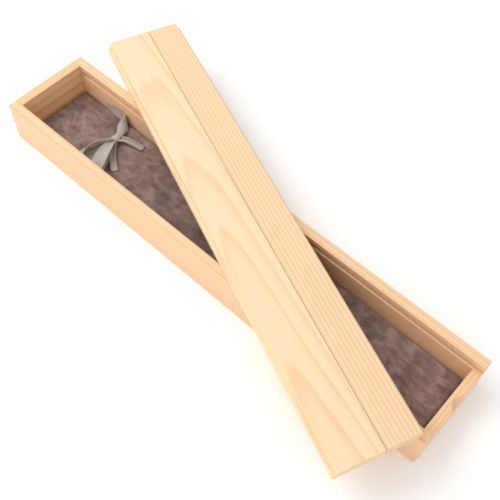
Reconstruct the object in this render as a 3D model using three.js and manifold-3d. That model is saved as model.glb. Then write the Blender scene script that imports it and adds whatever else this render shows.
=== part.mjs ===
// A long pine pen box: a grooved tray, a sliding lid of two glued boards that has been
// drawn out and laid across the tray, a padded insert and a cotton tape tied in a bow.
// Millimetres, +Z up. The origin lies under the middle of the tray and +X points to the
// low, open end where the lid slides in.
import * as THREE from "three";
import { mergeVertices } from "three/addons/utils/BufferGeometryUtils.js";
import Module from "manifold-3d";

const wasm = await Module();
wasm.setup();

// Tray
const trayLength = 348;
const trayWidth = 65;
const trayHeight = 32;
const sideThickness = 6.8;
const closedEndThickness = 6.8;
const openEndThickness = 6.2;
const easedEdge = 0.9;

// Groove that the lid slides in, cut in the inner face of each side
const grooveFloor = 23.4;
const grooveHeight = 4.2;
const grooveDepth = 2.8;

// Finger scoop in the outer top edge of the low end
const scoopRadius = 6.6;
const scoopReach = 3.6;
const scoopOffset = 2.6;

// Bottom panel, glued into a rabbet that runs round the foot of the four walls
const panelThickness = 3.6;
const rabbetDepth = 3.2;
const panelFit = 0.15;

// Lid
const lidThickness = 8.2;
const lidTongueThickness = 3.7;
const lidTongueReach = 2.3;
const lidSideClearance = 0.4;
const lidEndInset = 3.9;
const lidEndClearance = 0.3;
const lidEasedEdge = 0.4;
const glueLineShare = 0.575;
const glueGap = 0.3;

// Where the drawn lid lies across the tray
const lidCentreX = 3.9;
const lidCentreY = 9.4;
const lidAngle = -22.5;
const lidRestGap = 0.3;

// Padded insert
const padSideGap = 0.8;
const padBoardThickness = 1.8;
const padCushionThickness = 2.3;
const padCornerRadius = 1.5;
const softGap = 0.3;

// Cotton tape
const tapeWidth = 10;
const tapeThickness = 0.6;
const tapeNeckWidth = 1.6;
const knotX = -114;
const knotY = 8.5;
const knotRadius = 3.3;
const knotHeight = 4;
const farTapeWidth = 8;
const farTapeArch = 4.6;
const farTapeLean = -14;
const loopHeight = 3.6;
const loopWidth = 9;
const leftLoopReach = 29;
const rightLoopReach = 30;
const tailWidth = 4;
const shortTailReach = 27;
const longTailReach = 21;
const nearTapeAngle = -87;
const leftLoopAngle = -98;
const rightLoopAngle = -71;
const shortTailAngle = -44;
const longTailAngle = 21;

// Places that follow from the sizes above
const innerWidth = trayWidth - 2 * sideThickness;
const closedEndInner = -trayLength / 2 + closedEndThickness;
const openEndInner = trayLength / 2 - openEndThickness;
const innerLength = openEndInner - closedEndInner;
const padBoardTop = panelThickness + padBoardThickness;
const padTop = padBoardTop + softGap + padCushionThickness;
const tapeBase = padTop + softGap;
const loopBase = tapeBase + tapeThickness + softGap;
const lidLength = trayLength - closedEndThickness - lidEndInset - lidEndClearance;
const lidTopWidth = innerWidth - 2 * lidSideClearance;
const degree = Math.PI / 180;

const pine = (color) => new THREE.MeshStandardMaterial({ color, roughness: 0.62, metalness: 0 });
const sidePine = pine("#e6bf98");
const endPine = pine("#e8c39c");
const lidWidePine = pine("#eccfac");
const lidNarrowPine = pine("#e9c9a3");
const panelWood = new THREE.MeshStandardMaterial({ color: "#d2b189", roughness: 0.75, metalness: 0 });
const greyBoard = new THREE.MeshStandardMaterial({ color: "#8a8379", roughness: 0.9, metalness: 0 });
const suede = new THREE.MeshStandardMaterial({ color: "#7f6b64", roughness: 0.95, metalness: 0 });
const cotton = new THREE.MeshStandardMaterial({ color: "#b5aaa1", roughness: 0.9, metalness: 0 });

// An outline through corners [x, y, easing]; an eased corner is rounded over that length.
function outline(corners) {
  const shape = new THREE.Shape();
  corners.forEach(([x, y, easing = 0], i) => {
    const corner = new THREE.Vector2(x, y);
    const toward = ([px, py]) => {
      const way = new THREE.Vector2(px, py).sub(corner);
      return corner.clone().addScaledVector(way.normalize(), easing);
    };
    const before = toward(corners.at(i - 1));
    const after = toward(corners[(i + 1) % corners.length]);
    if (i === 0) shape.moveTo(before.x, before.y);
    else shape.lineTo(before.x, before.y);
    if (easing) shape.quadraticCurveTo(x, y, after.x, after.y);
  });
  shape.closePath();
  return shape;
}

// A shape drawn across the tray (x is the tray's Y, y is Z) and run along X from startX.
function alongX(shape, startX, length) {
  const geometry = new THREE.ExtrudeGeometry(shape, {
    depth: length,
    bevelEnabled: false,
    curveSegments: 4,
  });
  const across = new THREE.Vector3(0, 1, 0);
  const up = new THREE.Vector3(0, 0, 1);
  const along = new THREE.Vector3(1, 0, 0);
  geometry.applyMatrix4(new THREE.Matrix4().makeBasis(across, up, along));
  return geometry.translate(startX, 0, 0);
}

function block(lowX, highX, lowY, highY, lowZ, highZ) {
  const size = [highX - lowX, highY - lowY, highZ - lowZ];
  const middle = [(highX + lowX) / 2, (highY + lowY) / 2, (highZ + lowZ) / 2];
  return new THREE.BoxGeometry(...size).translate(...middle);
}

function solidOf(geometry) {
  const bare = geometry.clone();
  bare.deleteAttribute("normal");
  bare.deleteAttribute("uv");
  const merged = mergeVertices(bare, 1e-4);
  return new wasm.Manifold(
    new wasm.Mesh({
      numProp: 3,
      vertProperties: new Float32Array(merged.attributes.position.array),
      triVerts: new Uint32Array(merged.index.array),
    }),
  );
}

// Takes the cutters away from a workpiece.
function cut(geometry, ...cutters) {
  const left = cutters.reduce((work, cutter) => work.subtract(solidOf(cutter)), solidOf(geometry));
  const mesh = left.getMesh();
  const result = new THREE.BufferGeometry();
  result.setAttribute("position", new THREE.BufferAttribute(mesh.vertProperties, 3));
  result.setIndex(new THREE.BufferAttribute(mesh.triVerts, 1));
  result.computeVertexNormals();
  return result;
}

function piece(name, geometry, material) {
  const mesh = new THREE.Mesh(geometry, material);
  mesh.name = name;
  return mesh;
}

// How far a cutter runs past the face that it leaves through.
const overrun = 5;
const rabbetLow = closedEndInner - rabbetDepth;
const rabbetHigh = openEndInner + rabbetDepth;
const rabbetHalf = innerWidth / 2 + rabbetDepth;
const rabbet = block(rabbetLow, rabbetHigh, -rabbetHalf, rabbetHalf, -overrun, panelThickness);

// One long side, full length, with the lid groove from the closed end's inner face outwards.
function sideWall(side) {
  const inner = (side * innerWidth) / 2;
  const outer = (side * trayWidth) / 2;
  const board = alongX(
    outline([
      [inner, 0],
      [outer, 0, easedEdge],
      [outer, trayHeight, easedEdge],
      [inner, trayHeight],
    ]),
    -trayLength / 2,
    trayLength,
  );
  const grooveBack = inner + side * grooveDepth;
  const grooveMouth = inner - side * overrun;
  const groove = block(
    closedEndInner,
    trayLength / 2 + overrun,
    Math.min(grooveBack, grooveMouth),
    Math.max(grooveBack, grooveMouth),
    grooveFloor,
    grooveFloor + grooveHeight,
  );
  return cut(board, groove, rabbet);
}

function closedEnd() {
  const half = innerWidth / 2;
  const board = block(-trayLength / 2, closedEndInner, -half, half, 0, trayHeight);
  return cut(board, rabbet);
}

// The low end stops at the groove floor, so that the lid slides in over it.
function openEnd() {
  const half = innerWidth / 2;
  const board = block(openEndInner, trayLength / 2, -half, half, 0, grooveFloor);
  const scoop = new THREE.SphereGeometry(scoopRadius, 32, 20);
  scoop.translate(trayLength / 2 + scoopRadius - scoopReach, scoopOffset, grooveFloor);
  return cut(board, rabbet, scoop);
}

function bottomPanel() {
  const half = rabbetHalf - panelFit;
  return block(rabbetLow + panelFit, rabbetHigh - panelFit, -half, half, 0, panelThickness);
}

// A lid board runs from the glue line to its outer edge, where the tongue stands out below.
function lidBoard(side, glueLine) {
  const edge = (side * lidTopWidth) / 2;
  const tongue = edge + side * lidTongueReach;
  const profile = outline([
    [glueLine, 0],
    [tongue, 0, lidEasedEdge],
    [tongue, lidTongueThickness, lidEasedEdge],
    [edge, lidTongueThickness],
    [edge, lidThickness, lidEasedEdge],
    [glueLine, lidThickness],
  ]);
  return alongX(profile, -lidLength / 2, lidLength);
}

// A flat slab with rounded corners in plan.
function padSlab(base, thickness) {
  const halfX = innerLength / 2 - padSideGap;
  const halfY = innerWidth / 2 - padSideGap;
  const plan = outline([
    [-halfX, -halfY, padCornerRadius],
    [halfX, -halfY, padCornerRadius],
    [halfX, halfY, padCornerRadius],
    [-halfX, halfY, padCornerRadius],
  ]);
  const slab = new THREE.ExtrudeGeometry(plan, {
    depth: thickness,
    bevelEnabled: false,
    curveSegments: 4,
  });
  return slab.translate((closedEndInner + openEndInner) / 2, 0, base);
}

// A stretch of tape seen from above: a narrow neck at the knot that opens to a rounded end.
function blade(reach, endWidth, base, thickness) {
  const start = knotRadius + softGap;
  const endHalf = endWidth / 2;
  const neckHalf = tapeNeckWidth / 2;
  const shoulder = reach - endHalf;
  const plan = new THREE.Shape();
  plan.moveTo(start, -neckHalf);
  plan.lineTo(shoulder, -endHalf);
  plan.absarc(shoulder, 0, endHalf, -Math.PI / 2, Math.PI / 2, false);
  plan.lineTo(start, neckHalf);
  plan.closePath();
  const slab = new THREE.ExtrudeGeometry(plan, {
    depth: thickness,
    bevelEnabled: false,
    curveSegments: 8,
  });
  return slab.translate(0, 0, base);
}

// The tape that comes up beside the far wall arches over to the knot.
function farTape(length) {
  const start = knotRadius + softGap;
  const line = new THREE.QuadraticBezierCurve(
    new THREE.Vector2(start, tapeBase + tapeThickness),
    new THREE.Vector2(length * 0.75, tapeBase + 2 * farTapeArch),
    new THREE.Vector2(length, tapeBase + tapeThickness),
  );
  const steps = 12;
  const upper = line.getPoints(steps);
  const lower = upper.map((p) => new THREE.Vector2(p.x, p.y - tapeThickness)).reverse();
  const strip = new THREE.ExtrudeGeometry(new THREE.Shape([...upper, ...lower]), {
    depth: farTapeWidth,
    bevelEnabled: false,
  });
  strip.translate(0, 0, -farTapeWidth / 2);
  return strip.rotateX(Math.PI / 2);
}

const tray = new THREE.Group();
tray.add(
  piece("side_wall_near", sideWall(-1), sidePine),
  piece("side_wall_far", sideWall(1), sidePine),
  piece("end_wall_closed", closedEnd(), endPine),
  piece("end_wall_open", openEnd(), endPine),
  piece("bottom_panel", bottomPanel(), panelWood),
  piece("pad_board", padSlab(panelThickness, padBoardThickness), greyBoard),
  piece("pad_cushion", padSlab(padBoardTop + softGap, padCushionThickness), suede),
);

const lid = new THREE.Group();
const glueLine = lidTopWidth * (glueLineShare - 0.5);
lid.add(
  piece("lid_board_wide", lidBoard(-1, glueLine - glueGap / 2), lidWidePine),
  piece("lid_board_narrow", lidBoard(1, glueLine + glueGap / 2), lidNarrowPine),
);
lid.position.set(lidCentreX, lidCentreY, trayHeight + lidRestGap);
lid.rotation.z = lidAngle * degree;

const bow = new THREE.Group();
bow.position.set(knotX, knotY, 0);
const knot = new THREE.SphereGeometry(1, 20, 12);
knot.rotateX(Math.PI / 2);
knot.scale(knotRadius, knotRadius, knotHeight / 2).translate(0, 0, tapeBase + knotHeight / 2);
bow.add(piece("bow_knot", knot, cotton));

const stretches = [
  ["tape_near", nearTapeAngle, innerWidth / 2 + knotY - padSideGap, farTapeWidth, tapeBase, tapeThickness],
  ["bow_loop_left", leftLoopAngle, leftLoopReach, loopWidth, loopBase, loopHeight],
  ["bow_loop_right", rightLoopAngle, rightLoopReach, loopWidth, loopBase, loopHeight],
  ["bow_tail_short", shortTailAngle, shortTailReach, tailWidth, tapeBase, tapeThickness],
  ["bow_tail_long", longTailAngle, longTailReach, tailWidth, tapeBase, tapeThickness],
];
for (const [name, angle, reach, width, base, thickness] of stretches) {
  const stretch = piece(name, blade(reach, width, base, thickness), cotton);
  stretch.rotation.z = angle * degree;
  bow.add(stretch);
}

const rootY = innerWidth / 2 - padSideGap - (farTapeWidth / 2) * Math.sin(40 * degree);
const farTapeRun = Math.hypot(farTapeLean, rootY - knotY);
const tapeFar = piece("tape_far", farTape(farTapeRun), cotton);
tapeFar.rotation.z = Math.atan2(rootY - knotY, farTapeLean);
bow.add(tapeFar);

const penBox = new THREE.Group();
penBox.add(tray, bow, lid);
export default penBox;
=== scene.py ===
# A long pine pen box with its lid laid slantwise over the tray, a suede pad and a cotton bow.
import math

import bmesh
import bpy
import numpy as np
from mathutils import Matrix, Vector, noise


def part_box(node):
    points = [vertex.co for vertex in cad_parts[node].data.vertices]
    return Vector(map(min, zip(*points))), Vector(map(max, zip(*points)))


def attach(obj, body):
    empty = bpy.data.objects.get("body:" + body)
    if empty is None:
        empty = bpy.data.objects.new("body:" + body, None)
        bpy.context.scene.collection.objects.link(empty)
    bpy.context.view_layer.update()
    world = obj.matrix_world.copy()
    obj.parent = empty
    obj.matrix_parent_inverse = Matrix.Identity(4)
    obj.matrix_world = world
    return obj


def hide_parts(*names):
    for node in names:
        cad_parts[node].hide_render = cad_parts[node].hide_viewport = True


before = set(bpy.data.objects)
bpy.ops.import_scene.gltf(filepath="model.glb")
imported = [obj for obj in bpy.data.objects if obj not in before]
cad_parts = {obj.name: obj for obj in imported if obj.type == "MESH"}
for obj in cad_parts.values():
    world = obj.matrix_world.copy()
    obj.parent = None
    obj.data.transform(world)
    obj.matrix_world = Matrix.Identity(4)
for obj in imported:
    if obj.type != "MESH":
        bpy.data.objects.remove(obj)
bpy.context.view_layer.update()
MM = 0.001

# Camera: a short telephoto that looks down over the open end from the near side, slightly
# rolled, as the box was photographed.
camera_place = Vector((181.7, -193.7, 424.5)) * MM
camera_aim = Vector((12.0, 9.2, 0.0)) * MM
camera_roll = math.radians(2.67)
camera_lens = 54.75
camera_sensor = 36.0
camera_data = bpy.data.cameras.new("camera")
camera_data.lens = camera_lens
camera_data.sensor_width = camera_sensor
camera = bpy.data.objects.new("camera", camera_data)
bpy.context.scene.collection.objects.link(camera)
camera.rotation_mode = "QUATERNION"
gaze = (camera_aim - camera_place).to_track_quat("-Z", "Y")
camera.location = camera_place
camera.rotation_quaternion = gaze @ Matrix.Rotation(camera_roll, 3, "Z").to_quaternion()
bpy.context.scene.camera = camera
bpy.context.scene.view_settings.view_transform = "Standard"


# Studio: a white floor, an even white surround and two broad soft lamps, one high over the
# closed end and a weaker one low on the near side.
def linear(hex_colour):
    """An sRGB hex colour as linear RGBA."""
    parts = [int(hex_colour[i : i + 2], 16) / 255 for i in (1, 3, 5)]
    return [p / 12.92 if p <= 0.04045 else ((p + 0.055) / 1.055) ** 2.4 for p in parts] + [1.0]


def add(tree, kind, settings=None, links=None, values=None):
    """Adds one node with its settings, its input values and the sockets that feed it."""
    node = tree.nodes.new(kind)
    for name, value in (settings or {}).items():
        setattr(node, name, value)
    for name, value in (values or {}).items():
        node.inputs[name].default_value = value
    for name, socket in (links or {}).items():
        tree.links.new(socket, node.inputs[name])
    return node


def new_material(name):
    """A material with its own principled shader; returns it, its tree and the shader."""
    material = bpy.data.materials.new(name)
    material.use_nodes = True
    tree = material.node_tree
    return material, tree, tree.nodes["Principled BSDF"]


floor_half = 3.0
floor_drop = 0.2 * MM
bpy.ops.mesh.primitive_plane_add(size=2 * floor_half, location=(0, 0, -floor_drop))
floor = bpy.context.object
floor.name = "floor"
floor_paint, floor_tree, floor_shader = new_material("matt_white_floor")
floor_shader.inputs["Base Color"].default_value = linear("#fbfbfb")
floor_shader.inputs["Roughness"].default_value = 0.9
floor_shader.inputs["Specular IOR Level"].default_value = 0.1
floor.data.materials.append(floor_paint)

surround_strength = 0.82
world = bpy.data.worlds.new("studio")
world.use_nodes = True
world.node_tree.nodes["Background"].inputs["Color"].default_value = linear("#ffffff")
world.node_tree.nodes["Background"].inputs["Strength"].default_value = surround_strength
bpy.context.scene.world = world


def lamp(name, place, aim, size, power):
    """A square soft lamp at place that faces aim; metres and watts."""
    data = bpy.data.lights.new(name, "AREA")
    data.shape = "SQUARE"
    data.size = size
    data.energy = power
    found = bpy.data.objects.new(name, data)
    bpy.context.scene.collection.objects.link(found)
    found.location = place
    found.rotation_mode = "QUATERNION"
    found.rotation_quaternion = (Vector(aim) - Vector(place)).to_track_quat("-Z", "Y")


lamp("broad_lamp", (-0.62, -0.28, 0.95), (-0.05, 0, 0), 0.75, 6.5)
lamp("edge_lamp", (0.25, -0.95, 0.5), (0, 0, 0), 0.6, 1.6)

# Side walls: two planed pine boards with the lid groove cut in their inner faces. They run
# the full length, and the end walls are glued between them.
figure_stretch = 0.05
fibre_stretch = 0.03
bends_per_metre = 45.0
patches_per_metre = 22.0
fibres_per_metre = 2600.0
contrast_gain = 1.7
pore_depth = 0.12 * MM


def wave_scale(spacing):
    """The wave texture's scale for lines that lie spacing metres apart."""
    return 2 * math.pi / (20 * spacing)


def pine(name, pale, dark, ring, turn=(0, 0, 0), centre=(0, 0, 0), waver=2.0, contrast=0.8):
    """Planed pine: growth rings round a pith axis along X, ring metres apart; centre and turn
    place that axis. The lines fade in and out in patches, over fine pores along the grain."""
    material, tree, shader = new_material(name)
    spot = add(tree, "ShaderNodeTexCoord").outputs["Object"]
    placed = add(
        tree,
        "ShaderNodeMapping",
        links={"Vector": spot},
        values={"Location": centre, "Rotation": turn},
    ).outputs["Vector"]
    stretched = add(
        tree,
        "ShaderNodeMapping",
        links={"Vector": placed},
        values={"Scale": (figure_stretch, 1.0, 1.0)},
    ).outputs["Vector"]
    bend = add(
        tree,
        "ShaderNodeTexNoise",
        links={"Vector": stretched},
        values={"Scale": bends_per_metre, "Detail": 2.0, "Roughness": 0.5},
    ).outputs["Color"]
    pushed = add(
        tree,
        "ShaderNodeVectorMath",
        {"operation": "MULTIPLY_ADD"},
        links={0: bend, 2: stretched},
        values={1: (0.0, waver * ring, waver * ring)},
    ).outputs["Vector"]
    rings = add(
        tree,
        "ShaderNodeTexWave",
        {"wave_type": "RINGS", "rings_direction": "X", "wave_profile": "SAW"},
        links={"Vector": pushed},
        values={"Scale": wave_scale(ring), "Distortion": 0.6, "Detail": 1.0},
    ).outputs["Fac"]

    # Each ring darkens slowly to its late wood and then stops sharply.
    line = add(tree, "ShaderNodeValToRGB", links={"Fac": rings}).outputs["Color"]
    ramp = line.node.color_ramp
    ramp.elements[0].position = 0.0
    ramp.elements[0].color = (0.15, 0.15, 0.15, 1)
    ramp.elements[1].position = 1.0
    ramp.elements[1].color = (0.05, 0.05, 0.05, 1)
    ramp.elements.new(0.55).color = (0.3, 0.3, 0.3, 1)
    ramp.elements.new(0.86).color = (1, 1, 1, 1)
    patch = add(
        tree,
        "ShaderNodeTexNoise",
        links={"Vector": stretched},
        values={"Scale": patches_per_metre, "Detail": 3.0, "Roughness": 0.55},
    ).outputs["Fac"]
    strength = add(
        tree,
        "ShaderNodeMath",
        {"operation": "MULTIPLY"},
        links={0: line, 1: patch},
    ).outputs["Value"]
    share = add(
        tree,
        "ShaderNodeMath",
        {"operation": "MULTIPLY", "use_clamp": True},
        links={0: strength},
        values={1: contrast * contrast_gain},
    ).outputs["Value"]
    wood = add(
        tree,
        "ShaderNodeMix",
        {"data_type": "RGBA"},
        links={0: share},
        values={6: linear(pale), 7: linear(dark)},
    ).outputs[2]

    # Pores along the grain break up the tone, the gloss and the surface.
    fibre_place = add(
        tree,
        "ShaderNodeMapping",
        links={"Vector": placed},
        values={"Scale": (fibre_stretch, 1.0, 1.0)},
    ).outputs["Vector"]
    fibre = add(
        tree,
        "ShaderNodeTexNoise",
        links={"Vector": fibre_place},
        values={"Scale": fibres_per_metre, "Detail": 3.0, "Roughness": 0.6},
    ).outputs["Fac"]
    tone = add(
        tree,
        "ShaderNodeMapRange",
        links={"Value": fibre},
        values={"From Min": 0.2, "From Max": 0.8, "To Min": 0.93, "To Max": 1.05},
    ).outputs["Result"]
    wood = add(
        tree,
        "ShaderNodeMix",
        {"data_type": "RGBA", "blend_type": "MULTIPLY"},
        links={6: wood, 7: tone},
        values={0: 1.0},
    ).outputs[2]
    tree.links.new(wood, shader.inputs["Base Color"])
    grit = add(
        tree,
        "ShaderNodeBump",
        links={"Height": fibre},
        values={"Strength": 0.18, "Distance": pore_depth},
    ).outputs["Normal"]
    tree.links.new(grit, shader.inputs["Normal"])
    rough = add(
        tree,
        "ShaderNodeMapRange",
        links={"Value": fibre},
        values={"To Min": 0.5, "To Max": 0.66},
    ).outputs["Result"]
    tree.links.new(rough, shader.inputs["Roughness"])
    shader.inputs["Specular IOR Level"].default_value = 0.35
    return material


weld_distance = 0.001 * MM
flat_angle = math.radians(1)
sharp_angle = math.radians(35)


def planed(node, material, body, arris=0.35 * MM):
    """A wooden piece: the board's own solid with its sharp edges sanded to a small arris."""
    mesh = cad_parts[node].data.copy()
    work = bmesh.new()
    work.from_mesh(mesh)
    bmesh.ops.remove_doubles(work, verts=work.verts, dist=weld_distance)
    bmesh.ops.dissolve_limit(work, angle_limit=flat_angle, verts=work.verts, edges=work.edges)
    sharp = [e for e in work.edges if e.is_manifold and e.calc_face_angle() > sharp_angle]
    bmesh.ops.bevel(
        work, geom=sharp, offset=arris, segments=2, profile=0.5, affect="EDGES", clamp_overlap=True
    )
    work.to_mesh(mesh)
    work.free()
    mesh.materials.clear()
    mesh.materials.append(material)
    board = bpy.data.objects.new(node + "_wood", mesh)
    bpy.context.scene.collection.objects.link(board)
    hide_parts(node)
    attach(board, body)
    return board


near_pine = pine(
    "planed_pine_near_side", "#f0cda6", "#dc9a6c", 0.0017, centre=(0.02, 0.012, 0.012)
)
far_pine = pine(
    "planed_pine_far_side", "#efcca6", "#dda474", 0.0019, centre=(0.11, -0.060, 0.004)
)
planed("side_wall_near", near_pine, "tray")
planed("side_wall_far", far_pine, "tray")

# End walls: short pine boards glued between the sides, with their grain running across the
# box. The low one has a finger scoop cut with a round-nosed cutter.
across_box = (0, 0, math.radians(90))
closed_pine = pine(
    "planed_pine_closed_end", "#eec79c", "#d89c69", 0.0022, across_box, (0.01, 0.03, 0.02)
)
open_pine = pine(
    "planed_pine_low_end", "#f0cba2", "#dd9f70", 0.0016, across_box, (0.05, -0.21, 0.018)
)
planed("end_wall_closed", closed_pine, "tray")
planed("end_wall_open", open_pine, "tray")

# Bottom panel: a thin sheet of pale plywood glued into the rabbet, seen only from below.
# Its face veneer is peeled round the log, so its figure is wide and faint.
panel_arris = 0.15 * MM
bottom_ply = pine(
    "rotary_cut_plywood", "#dfc19a", "#cba477", 0.009, (0.05, 0.02, 0), (0, 0, 0.05), 3.0, 0.6
)
planed("bottom_panel", bottom_ply, "tray", panel_arris)

# Lid: two pine boards glued edge to edge, rabbeted along both sides. The wide one is flat
# sawn, with long arched figure, and the narrow one has straight lines along its length.
lid_turn = math.radians(22.5)
pith_tilt = math.radians(2.2)
wide_pine = pine(
    "flat_sawn_pine_lid",
    "#f3d6b2",
    "#e0b285",
    0.0032,
    (0.0, pith_tilt, lid_turn),
    (0.03, 0.004, -0.012),
    2.4,
    0.62,
)
narrow_pine = pine(
    "straight_grained_pine_lid",
    "#f1d2ac",
    "#dcaa7b",
    0.0026,
    (0.0, 0.0, lid_turn),
    (0.0, 0.09, -0.036),
    0.8,
    0.8,
)
planed("lid_board_wide", wide_pine, "lid")
planed("lid_board_narrow", narrow_pine, "lid")

# Pad: grey board under a thin foam sheet, wrapped in brown-grey suede. It lies on the
# bottom with a small gap all round, its top soft and slightly uneven.
card, card_tree, card_shader = new_material("pressed_grey_board")
flecks_per_metre = 1800.0
flecks = add(
    card_tree,
    "ShaderNodeTexNoise",
    links={"Vector": add(card_tree, "ShaderNodeTexCoord").outputs["Object"]},
    values={"Scale": flecks_per_metre, "Detail": 3.0},
).outputs["Fac"]
card_colour = add(
    card_tree,
    "ShaderNodeMix",
    {"data_type": "RGBA"},
    links={0: flecks},
    values={6: linear("#7d766c"), 7: linear("#989084")},
).outputs[2]
card_tree.links.new(card_colour, card_shader.inputs["Base Color"])
card_shader.inputs["Roughness"].default_value = 0.9
pad_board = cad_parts["pad_board"]
pad_board.data.materials.clear()
pad_board.data.materials.append(card)

clouds_per_metre = 75.0
strokes_per_metre = 260.0
stroke_angle = math.radians(35)
stroke_stretch = 0.35
naps_per_metre = 2400.0
nap_depth = 0.2 * MM


def suede_material():
    """Brushed suede: a short nap that lies in soft patches, lighter where it was stroked."""
    material, tree, shader = new_material("brushed_suede")
    spot = add(tree, "ShaderNodeTexCoord").outputs["Object"]
    cloud = add(
        tree,
        "ShaderNodeTexNoise",
        links={"Vector": spot},
        values={"Scale": clouds_per_metre, "Detail": 5.0, "Roughness": 0.62, "Distortion": 0.6},
    ).outputs["Fac"]
    stroke_place = add(
        tree,
        "ShaderNodeMapping",
        links={"Vector": spot},
        values={"Rotation": (0, 0, stroke_angle), "Scale": (stroke_stretch, 1.0, 1.0)},
    ).outputs["Vector"]
    stroke = add(
        tree,
        "ShaderNodeTexNoise",
        links={"Vector": stroke_place},
        values={"Scale": strokes_per_metre, "Detail": 4.0, "Roughness": 0.6},
    ).outputs["Fac"]
    nap = add(
        tree,
        "ShaderNodeTexNoise",
        links={"Vector": spot},
        values={"Scale": naps_per_metre, "Detail": 2.0},
    ).outputs["Fac"]
    blend = add(
        tree,
        "ShaderNodeMath",
        {"operation": "MULTIPLY_ADD"},
        links={0: stroke, 2: cloud},
        values={1: 0.55},
    ).outputs["Value"]
    colour = add(tree, "ShaderNodeValToRGB", links={"Fac": blend}).outputs["Color"]
    ramp = colour.node.color_ramp
    ramp.elements[0].position = 0.58
    ramp.elements[0].color = linear("#6c5650")
    ramp.elements[1].position = 0.98
    ramp.elements[1].color = linear("#a58c86")
    ramp.elements.new(0.78).color = linear("#87706a")
    grain = add(
        tree,
        "ShaderNodeMapRange",
        links={"Value": nap},
        values={"From Min": 0.3, "From Max": 0.7, "To Min": 0.86, "To Max": 1.1},
    ).outputs["Result"]
    colour = add(
        tree,
        "ShaderNodeMix",
        {"data_type": "RGBA", "blend_type": "MULTIPLY"},
        links={6: colour, 7: grain},
        values={0: 1.0},
    ).outputs[2]
    tree.links.new(colour, shader.inputs["Base Color"])
    bump = add(
        tree,
        "ShaderNodeBump",
        links={"Height": nap},
        values={"Strength": 0.5, "Distance": nap_depth},
    ).outputs["Normal"]
    tree.links.new(bump, shader.inputs["Normal"])
    shader.inputs["Roughness"].default_value = 0.95
    shader.inputs["Specular IOR Level"].default_value = 0.15
    shader.inputs["Sheen Weight"].default_value = 0.25
    shader.inputs["Sheen Roughness"].default_value = 0.5
    return material


pad_low, pad_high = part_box("pad_cushion")
pad_middle = (pad_low + pad_high) / 2
pad_half = (pad_high - pad_low) / 2
pad_roll = 1.3 * MM
pad_under_roll = 0.25
pad_crown = 0.25 * MM
pad_end_power = 8
pad_columns, pad_rows = 220, 40
rim_share = 0.25
ripple_height = 0.14 * MM
ripples_along, ripples_across, ripple_slice = 60, 75, 3.1
pad_work = bmesh.new()


def crowded(step, steps):
    """A place from -1 to 1, in steps that crowd a little towards both rims."""
    return (1 - rim_share) * (2 * step / steps - 1) - rim_share * math.cos(math.pi * step / steps)


def pad_point(i, j, top):
    """A point of the pad's skin: the rim rolls down, and the top swells a little."""
    u, v = crowded(i, pad_columns), crowded(j, pad_rows)
    x = pad_middle.x + u * pad_half.x
    y = pad_middle.y + v * pad_half.y
    inset = min(pad_half.x * (1 - abs(u)), pad_half.y * (1 - abs(v)))
    drop = max(0.0, pad_roll - inset) / pad_roll
    fall = pad_roll * (1 - math.sqrt(max(0.0, 1 - drop * drop)))
    if not top:
        return Vector((x, y, pad_low.z + pad_under_roll * fall))
    ripple = ripple_height * noise.noise(
        Vector((x * ripples_along, y * ripples_across, ripple_slice))
    )
    swell = pad_crown * (1 - v * v) * (1 - u**pad_end_power)
    return Vector((x, y, pad_high.z - pad_crown + swell + ripple * (1 - drop) - fall))


skins = []
for top in (True, False):
    grid = [
        [pad_work.verts.new(pad_point(i, j, top)) for j in range(pad_rows + 1)]
        for i in range(pad_columns + 1)
    ]
    for i in range(pad_columns):
        for j in range(pad_rows):
            corners = (grid[i][j], grid[i + 1][j], grid[i + 1][j + 1], grid[i][j + 1])
            pad_work.faces.new(corners if top else corners[::-1])
    skins.append(grid)
rims = [
    [grid[i][0] for i in range(pad_columns)]
    + [grid[pad_columns][j] for j in range(pad_rows)]
    + [grid[i][pad_rows] for i in range(pad_columns, 0, -1)]
    + [grid[0][j] for j in range(pad_rows, 0, -1)]
    for grid in skins
]
for k in range(len(rims[0])):
    n = (k + 1) % len(rims[0])
    pad_work.faces.new((rims[0][k], rims[1][k], rims[1][n], rims[0][n]))
bmesh.ops.recalc_face_normals(pad_work, faces=pad_work.faces)
pad_mesh = bpy.data.meshes.new("suede_pad")
pad_work.to_mesh(pad_mesh)
pad_work.free()
pad_mesh.materials.append(suede_material())
pad_mesh.shade_smooth()
pad = bpy.data.objects.new("suede_pad", pad_mesh)
bpy.context.scene.collection.objects.link(pad)
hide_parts("pad_cushion")
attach(pad, "tray")

# Tie: one length of soft cotton tape, 10 mm wide, that comes up beside the pad from under
# it on both sides and is tied in a bow. It curls lengthwise where the knot gathers it.
tape_width = 10 * MM
tape_thickness = 0.32 * MM
tape_columns = 13
tape_steps = 9
least_curl = 0.05
rib_spacing = 0.55 * MM
rib_depth = 0.15 * MM
smudges_per_metre = 300.0


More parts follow.
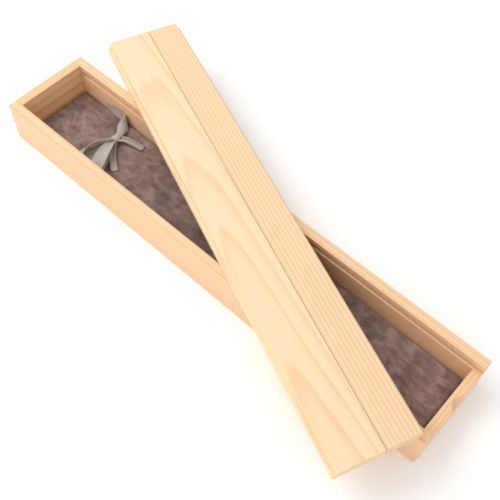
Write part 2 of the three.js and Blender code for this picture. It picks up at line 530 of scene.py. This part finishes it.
def cotton_material():
    """Plain woven cotton tape, unbleached grey: fine ribs along and across, soft and dull."""
    material, tree, shader = new_material("woven_cotton_tape")
    spread = add(tree, "ShaderNodeUVMap", {"uv_map": "weave"}).outputs["UV"]
    threads = []
    for direction in ("X", "Y"):
        threads.append(
            add(
                tree,
                "ShaderNodeTexWave",
                {"wave_type": "BANDS", "bands_direction": direction, "wave_profile": "SIN"},
                links={"Vector": spread},
                values={"Scale": wave_scale(rib_spacing), "Distortion": 0.5},
            ).outputs["Fac"]
        )
    weave = add(
        tree, "ShaderNodeMath", {"operation": "MULTIPLY"}, links={0: threads[0], 1: threads[1]}
    ).outputs["Value"]
    cloud = add(
        tree,
        "ShaderNodeTexNoise",
        links={"Vector": add(tree, "ShaderNodeTexCoord").outputs["Object"]},
        values={"Scale": smudges_per_metre, "Detail": 3.0},
    ).outputs["Fac"]
    base = add(
        tree,
        "ShaderNodeMix",
        {"data_type": "RGBA"},
        links={0: cloud},
        values={6: linear("#aea49b"), 7: linear("#d0c7be")},
    ).outputs[2]
    shade = add(
        tree,
        "ShaderNodeMapRange",
        links={"Value": weave},
        values={"To Min": 0.86, "To Max": 1.04},
    ).outputs["Result"]
    base = add(
        tree,
        "ShaderNodeMix",
        {"data_type": "RGBA", "blend_type": "MULTIPLY"},
        links={6: base, 7: shade},
        values={0: 1.0},
    ).outputs[2]
    tree.links.new(base, shader.inputs["Base Color"])
    bump = add(
        tree,
        "ShaderNodeBump",
        links={"Height": weave},
        values={"Strength": 0.5, "Distance": rib_depth},
    ).outputs["Normal"]
    tree.links.new(bump, shader.inputs["Normal"])
    shader.inputs["Roughness"].default_value = 0.92
    shader.inputs["Specular IOR Level"].default_value = 0.2
    shader.inputs["Sheen Weight"].default_value = 0.3
    return material


cotton = cotton_material()


def smooth_path(rows, steps):
    """Catmull-Rom through rows of numbers, steps stretches between each pair."""
    rows = np.array(rows, float)
    ends = np.vstack([2 * rows[0] - rows[1], rows, 2 * rows[-1] - rows[-2]])
    found = []
    for k in range(1, len(ends) - 2):
        a, b, c, d = ends[k - 1 : k + 3]
        for t in np.linspace(0, 1, steps, endpoint=False):
            found.append(
                0.5
                * (
                    2 * b
                    + (c - a) * t
                    + (2 * a - 5 * b + 4 * c - d) * t**2
                    + (3 * b - 3 * c + d - a) * t**3
                )
            )
    return np.array([*found, rows[-1]])


def tape(name, node, stations, width=tape_width, steps=tape_steps):
    """A stretch of tape through stations (x, y, z, side x, side y, side z, curl, flat), with
    x, y and z in mm. Side points across the tape, curl is how far it rolls lengthwise, in half
    turns, and flat is how much of that roll's height is left."""
    rows = smooth_path(stations, steps)
    spine = rows[:, :3] * MM
    along = np.gradient(spine, axis=0)
    along /= np.linalg.norm(along, axis=1)[:, None]
    side = rows[:, 3:6] - (np.sum(rows[:, 3:6] * along, axis=1))[:, None] * along
    side /= np.linalg.norm(side, axis=1)[:, None]
    up = np.cross(along, side)
    across = np.linspace(-0.5, 0.5, tape_columns)
    travelled = np.concatenate([[0], np.cumsum(np.linalg.norm(np.diff(spine, axis=0), axis=1))])
    work = bmesh.new()
    weave = work.loops.layers.uv.new("weave")
    grid = []
    for k, place in enumerate(spine):
        turn = max(least_curl, rows[k, 6]) * math.pi
        radius = width / turn
        lift = radius * (1 - np.cos(turn * across)) * rows[k, 7]
        lift -= lift.mean()
        out = radius * np.sin(turn * across)
        grid.append(
            [work.verts.new(place + side[k] * o + up[k] * h) for o, h in zip(out, lift)]
        )
    for k in range(len(grid) - 1):
        for m in range(len(across) - 1):
            face = work.faces.new((grid[k][m], grid[k + 1][m], grid[k + 1][m + 1], grid[k][m + 1]))
            corners = ((k, m), (k + 1, m), (k + 1, m + 1), (k, m + 1))
            for loop, (a, b) in zip(face.loops, corners):
                loop[weave].uv = (across[b] * width, travelled[a])
    mesh = bpy.data.meshes.new(name)
    work.to_mesh(mesh)
    work.free()
    mesh.materials.append(cotton)
    mesh.shade_smooth()
    piece = bpy.data.objects.new(name, mesh)
    bpy.context.scene.collection.objects.link(piece)
    shell = piece.modifiers.new("thickness", "SOLIDIFY")
    shell.thickness = tape_thickness
    shell.offset = 0.0
    shell.use_even_offset = True
    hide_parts(node)
    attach(piece, "tray")
    return piece


# The two halves that come up at the walls: the far one leans on its wall, folds over and
# narrows to the knot, and the near one lies flat under the loops.
tape(
    "tape_from_far_side",
    "tape_far",
    [
        (-142, 25.2, 7.4, 0.5, 0, 1, 0.2, 1),
        (-136, 25.0, 10.5, 0.3, 0, 1, 0.3, 0.8),
        (-128, 24.6, 11.2, 0.2, 0, 1, 0.3, 0.8),
        (-121.5, 24.0, 12.2, 0.1, 0.1, 1, 0.3, 0.8),
        (-118.2, 21.6, 12.6, -0.5, 0.3, 1, 0.4, 0.8),
        (-116.6, 17.0, 12.2, -0.9, 0.2, 0.7, 0.8, 0.6),
        (-115.2, 12.5, 11.2, -1, 0.1, 0.3, 1.3, 0.5),
        (-114.4, 9.2, 10.6, -1, 0, 0, 1.6, 0.6),
    ],
)
tape(
    "tape_from_near_side",
    "tape_near",
    [
        (-114.2, 6.8, 9.7, 1, 0, 0, 1.6, 0.45),
        (-113.6, 0, 9.1, 1, 0, 0, 1.0, 0.25),
        (-112.8, -12, 8.9, 1, 0, 0, 0.4, 0.2),
        (-112.2, -22, 8.9, 1, 0, 0, 0.15, 0.2),
        (-112.0, -25.2, 7.6, 1, 0, 0, 0.1, 0.2),
    ],
)

# The bow's loops: each leaves the knot gathered, opens out, turns over near the near wall
# and comes back under itself.
tape(
    "bow_loop_left_tape",
    "bow_loop_left",
    [
        (-114.6, 6.6, 11.2, 0.9, -0.1, 0.5, 1.5, 0.5),
        (-117.0, 0, 13.2, 0.7, -0.2, 0.8, 1.0, 0.6),
        (-119.2, -8, 14.4, 0.5, -0.3, 0.9, 0.5, 0.8),
        (-120.2, -16, 14.0, 0.7, -0.2, 0.7, 0.3, 0.8),
        (-119.4, -20.6, 11.9, 1, 0, 0.2, 0.3, 0.8),
        (-117.8, -15, 10.2, 1, -0.1, 0, 0.3, 0.5),
        (-116.0, -4, 10.0, 1, -0.1, 0, 0.8, 0.4),
        (-114.6, 6.2, 10.3, 1, 0, 0, 1.5, 0.45),
    ],
)
tape(
    "bow_loop_right_tape",
    "bow_loop_right",
    [
        (-113.8, 6.4, 11.6, 1, 0.3, 0.2, 1.5, 0.5),
        (-111.6, 0, 13.6, 1, 0.35, 0.2, 0.9, 0.5),
        (-108.4, -8, 15.0, 1, 0.4, 0.1, 0.5, 0.6),
        (-104.8, -17, 14.0, 1, 0.4, 0, 0.3, 0.6),
        (-103.6, -20.8, 11.6, 1, 0.3, 0, 0.3, 0.6),
        (-106.4, -14, 10.0, 1, 0.35, 0, 0.4, 0.4),
        (-110.8, -3, 9.8, 1, 0.35, 0, 0.9, 0.4),
        (-113.6, 6.0, 10.2, 1, 0.2, 0, 1.5, 0.45),
    ],
)

# The bow's tails, rolled into narrow strands that lie on the pad.
tape(
    "bow_tail_short_tape",
    "bow_tail_short",
    [
        (-113.2, 5.8, 10.6, 0.7, 0.7, 0, 1.65, 0.45),
        (-109.6, 1.2, 10.2, 0.7, 0.7, 0, 1.6, 0.4),
        (-104.0, -4.6, 9.6, 0.7, 0.7, 0.1, 1.5, 0.4),
        (-98.6, -8.6, 9.3, 0.65, 0.75, 0.1, 1.45, 0.4),
        (-95.0, -11.0, 9.2, 0.6, 0.8, 0, 1.4, 0.4),
    ],
)
tape(
    "bow_tail_long_tape",
    "bow_tail_long",
    [
        (-112.6, 8.6, 10.9, -0.3, 1, 0, 1.65, 0.45),
        (-108.4, 11.0, 12.0, -0.4, 1, 0.3, 1.65, 0.4),
        (-103.4, 13.0, 11.2, -0.4, 1, 0.2, 1.6, 0.4),
        (-98.4, 14.6, 9.8, -0.3, 1, 0.1, 1.55, 0.4),
        (-94.8, 15.4, 9.3, -0.3, 1, 0, 1.5, 0.4),
    ],
)

# The bow's knot: the tape goes once round the gathered strands, a little more than a full
# turn, so that its two ends overlap.
knot_x, knot_y, knot_z = -114.1, 7.7, 10.9
knot_half_width, knot_half_height, knot_slant = 2.3, 1.9, 0.25
knot_start, knot_end = -0.6, 2 * math.pi + 0.3
knot_stations = 14
knot_steps = 4
tape(
    "bow_knot_tape",
    "bow_knot",
    [
        (
            knot_x + knot_half_width * math.cos(a),
            knot_y + knot_slant * math.sin(a),
            knot_z + knot_half_height * math.sin(a),
            0.1,
            1,
            0,
            1.2,
            0.35,
        )
        for a in np.linspace(knot_start, knot_end, knot_stations)
    ],
    steps=knot_steps,
)
